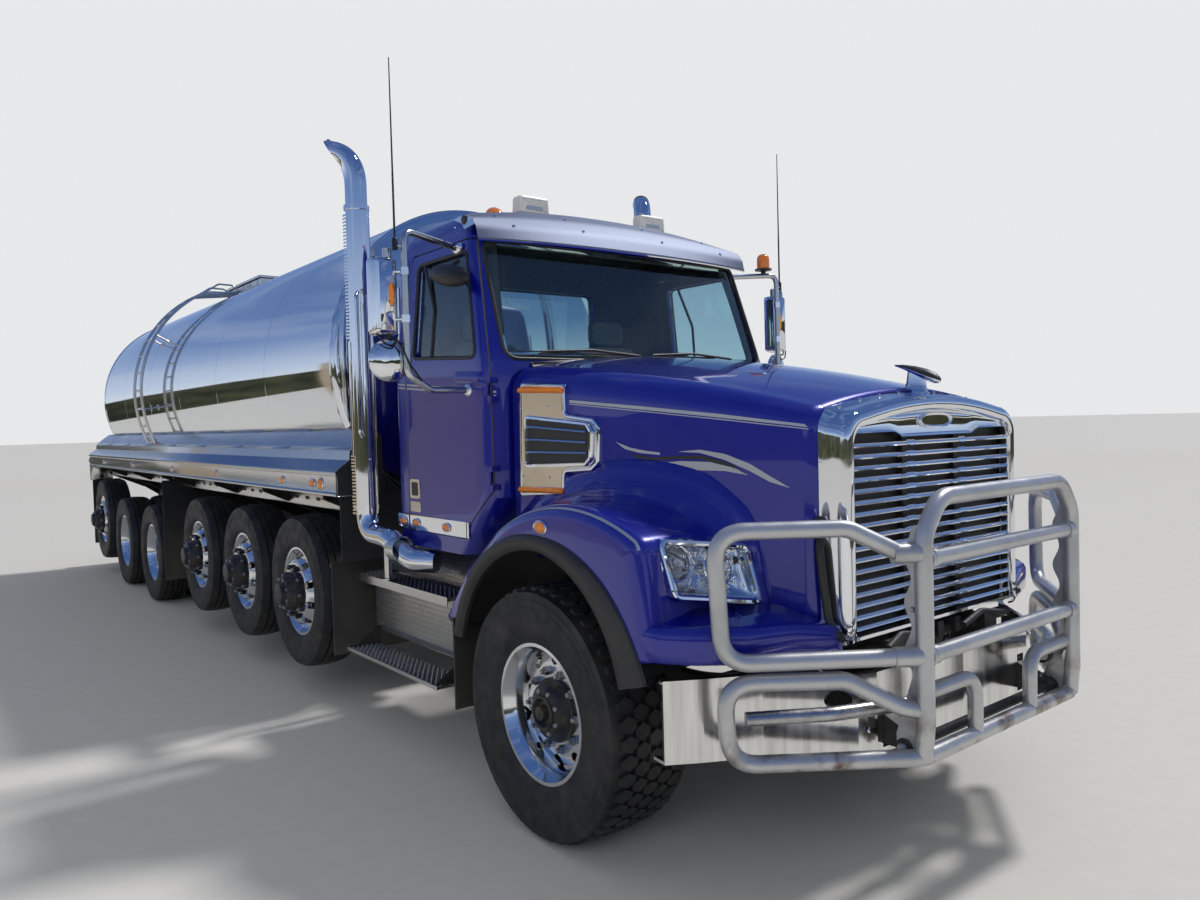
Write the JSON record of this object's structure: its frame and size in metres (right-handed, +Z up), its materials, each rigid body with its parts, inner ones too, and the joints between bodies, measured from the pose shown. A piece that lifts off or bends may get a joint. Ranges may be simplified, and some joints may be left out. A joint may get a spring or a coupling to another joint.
{
  "type": "bonneted tank truck",
  "caption": "Bonneted truck with a long polished tank, raised lift axles, folding grille guard, opening doors, tilting bonnet, steering and turning wheels.",
  "frame": {"origin": "middle of the truck's length and width, on the road", "axes": "+Z up, +Y to the rear along the truck's length, +X to the driver's left"},
  "size_m": [3.06, 12.21, 3.56],
  "materials": {
    "tyre": "moulded road tyre",
    "wheel": "polished forged wheel with a dark hub",
    "running_gear": "black chassis paint",
    "engine": "dull grey casting",
    "body_paint": "deep blue gloss coat with fine flake",
    "chrome": "bright plate",
    "stainless": "polished stainless sheet",
    "tank_steel": "mirror polished stainless",
    "guard_steel": "satin grey tube with scuffs",
    "tread_plate": "bright tread plate",
    "glass": "tinted safety glass",
    "lamp": "amber and red lenses, two white roof lamps",
    "rubber": "black rubber sheet",
    "seat": "dark grey seat cover",
    "dash": "dark grained plastic"
  },
  "bodies": {
    "root": {"chassis": "running_gear", "front_axle": "running_gear", "rear_axles": "running_gear", "engine": "engine", "tank": "tank_steel", "deck": "stainless", "manway_box": "stainless", "ladder": "stainless", "cab": "body_paint", "cab_glass": "glass", "seats": "seat", "dashboard": "dash", "bumper": "chrome", "exhaust_stacks": "chrome", "step_boxes": "tread_plate", "sun_visor": "stainless", "lamps": "lamp", "mudflaps": "rubber"},
    "manway_lid": {"manway_lid": "stainless"},
    "hood": {"hood": "body_paint", "grille": "chrome", "headlamps": "chrome", "side_vents": "chrome"},
    "guard": {"guard": "guard_steel"},
    "door_left": {"door_left": "body_paint", "door_glass_left": "glass", "mirror_left": "chrome"},
    "knuckle_left": {"knuckle_left": "running_gear"},
    "door_right": {"door_right": "body_paint", "door_glass_right": "glass", "mirror_right": "chrome"},
    "knuckle_right": {"knuckle_right": "running_gear"},
    "wheel_steer_left": {"tyre_steer_left": "tyre", "wheel_steer_left": "wheel"},
    "wheel_lift_1_left": {"tyre_lift_1_left": "tyre", "wheel_lift_1_left": "wheel"},
    "wheel_lift_2_left": {"tyre_lift_2_left": "tyre", "wheel_lift_2_left": "wheel"},
    "wheel_lift_3_left": {"tyre_lift_3_left": "tyre", "wheel_lift_3_left": "wheel"},
    "wheel_drive_1_left": {"tyre_drive_1_left": "tyre", "wheel_drive_1_left": "wheel"},
    "wheel_drive_2_left": {"tyre_drive_2_left": "tyre", "wheel_drive_2_left": "wheel"},
    "wheel_tag_left": {"tyre_tag_left": "tyre", "wheel_tag_left": "wheel"},
    "wheel_steer_right": {"tyre_steer_right": "tyre", "wheel_steer_right": "wheel"},
    "wheel_lift_1_right": {"tyre_lift_1_right": "tyre", "wheel_lift_1_right": "wheel"},
    "wheel_lift_2_right": {"tyre_lift_2_right": "tyre", "wheel_lift_2_right": "wheel"},
    "wheel_lift_3_right": {"tyre_lift_3_right": "tyre", "wheel_lift_3_right": "wheel"},
    "wheel_drive_1_right": {"tyre_drive_1_right": "tyre", "wheel_drive_1_right": "wheel"},
    "wheel_drive_2_right": {"tyre_drive_2_right": "tyre", "wheel_drive_2_right": "wheel"},
    "wheel_tag_right": {"tyre_tag_right": "tyre", "wheel_tag_right": "wheel"}
  },
  "joints": [
    {"name": "guard_fold", "type": "hinge", "parent": "root", "child": "guard", "pos_m": [0, -5.985, 0.6], "axis": [1, 0, 0], "range_deg": [0, 90]},
    {"name": "hood_tilt", "type": "hinge", "parent": "root", "child": "hood", "pos_m": [0, -5.775, 0.8], "axis": [1, 0, 0], "range_deg": [0, 60]},
    {"name": "manway_lid_hinge", "type": "hinge", "parent": "root", "child": "manway_lid", "pos_m": [0.201, 2.57, 3.416], "axis": [0, 1, 0], "range_deg": [0, 100]},
    {"name": "door_left_hinge", "type": "hinge", "parent": "root", "child": "door_left", "pos_m": [1.045, -4.005, 1.74], "axis": [0, 0, -1], "range_deg": [0, 70]},
    {"name": "steer_left", "type": "hinge", "parent": "root", "child": "knuckle_left", "pos_m": [0.9, -4.655, 0.548], "axis": [0, 0, 1], "range_deg": [-35, 35]},
    {"name": "spin_steer_left", "type": "hinge", "parent": "knuckle_left", "child": "wheel_steer_left", "pos_m": [1.045, -4.655, 0.548], "axis": [1, 0, 0], "continuous": true},
    {"name": "spin_lift_1_left", "type": "hinge", "parent": "root", "child": "wheel_lift_1_left", "pos_m": [1.098, -1.755, 0.688], "axis": [1, 0, 0], "continuous": true},
    {"name": "spin_lift_2_left", "type": "hinge", "parent": "root", "child": "wheel_lift_2_left", "pos_m": [1.098, -0.555, 0.688], "axis": [1, 0, 0], "continuous": true},
    {"name": "spin_lift_3_left", "type": "hinge", "parent": "root", "child": "wheel_lift_3_left", "pos_m": [1.098, 0.745, 0.688], "axis": [1, 0, 0], "continuous": true},
    {"name": "spin_drive_1_left", "type": "hinge", "parent": "root", "child": "wheel_drive_1_left", "pos_m": [1.095, 2.645, 0.518], "axis": [1, 0, 0], "continuous": true},
    {"name": "spin_drive_2_left", "type": "hinge", "parent": "root", "child": "wheel_drive_2_left", "pos_m": [1.095, 4.065, 0.518], "axis": [1, 0, 0], "continuous": true},
    {"name": "spin_tag_left", "type": "hinge", "parent": "root", "child": "wheel_tag_left", "pos_m": [1.098, 5.395, 0.688], "axis": [1, 0, 0], "continuous": true},
    {"name": "door_right_hinge", "type": "hinge", "parent": "root", "child": "door_right", "pos_m": [-1.045, -4.005, 1.74], "axis": [0, 0, 1], "range_deg": [0, 70]},
    {"name": "steer_right", "type": "hinge", "parent": "root", "child": "knuckle_right", "pos_m": [-0.9, -4.655, 0.548], "axis": [0, 0, 1], "range_deg": [-35, 35]},
    {"name": "spin_steer_right", "type": "hinge", "parent": "knuckle_right", "child": "wheel_steer_right", "pos_m": [-1.045, -4.655, 0.548], "axis": [1, 0, 0], "continuous": true},
    {"name": "spin_lift_1_right", "type": "hinge", "parent": "root", "child": "wheel_lift_1_right", "pos_m": [-1.098, -1.755, 0.688], "axis": [1, 0, 0], "continuous": true},
    {"name": "spin_lift_2_right", "type": "hinge", "parent": "root", "child": "wheel_lift_2_right", "pos_m": [-1.098, -0.555, 0.688], "axis": [1, 0, 0], "continuous": true},
    {"name": "spin_lift_3_right", "type": "hinge", "parent": "root", "child": "wheel_lift_3_right", "pos_m": [-1.098, 0.745, 0.688], "axis": [1, 0, 0], "continuous": true},
    {"name": "spin_drive_1_right", "type": "hinge", "parent": "root", "child": "wheel_drive_1_right", "pos_m": [-1.095, 2.645, 0.518], "axis": [1, 0, 0], "continuous": true},
    {"name": "spin_drive_2_right", "type": "hinge", "parent": "root", "child": "wheel_drive_2_right", "pos_m": [-1.095, 4.065, 0.518], "axis": [1, 0, 0], "continuous": true},
    {"name": "spin_tag_right", "type": "hinge", "parent": "root", "child": "wheel_tag_right", "pos_m": [-1.098, 5.395, 0.688], "axis": [1, 0, 0], "continuous": true}
  ],
  "couplings": [
    {"joint": "hood_tilt", "follows": "guard_fold", "ratio": 0.6667},
    {"joint": "steer_right", "follows": "steer_left", "ratio": 1}
  ]
}
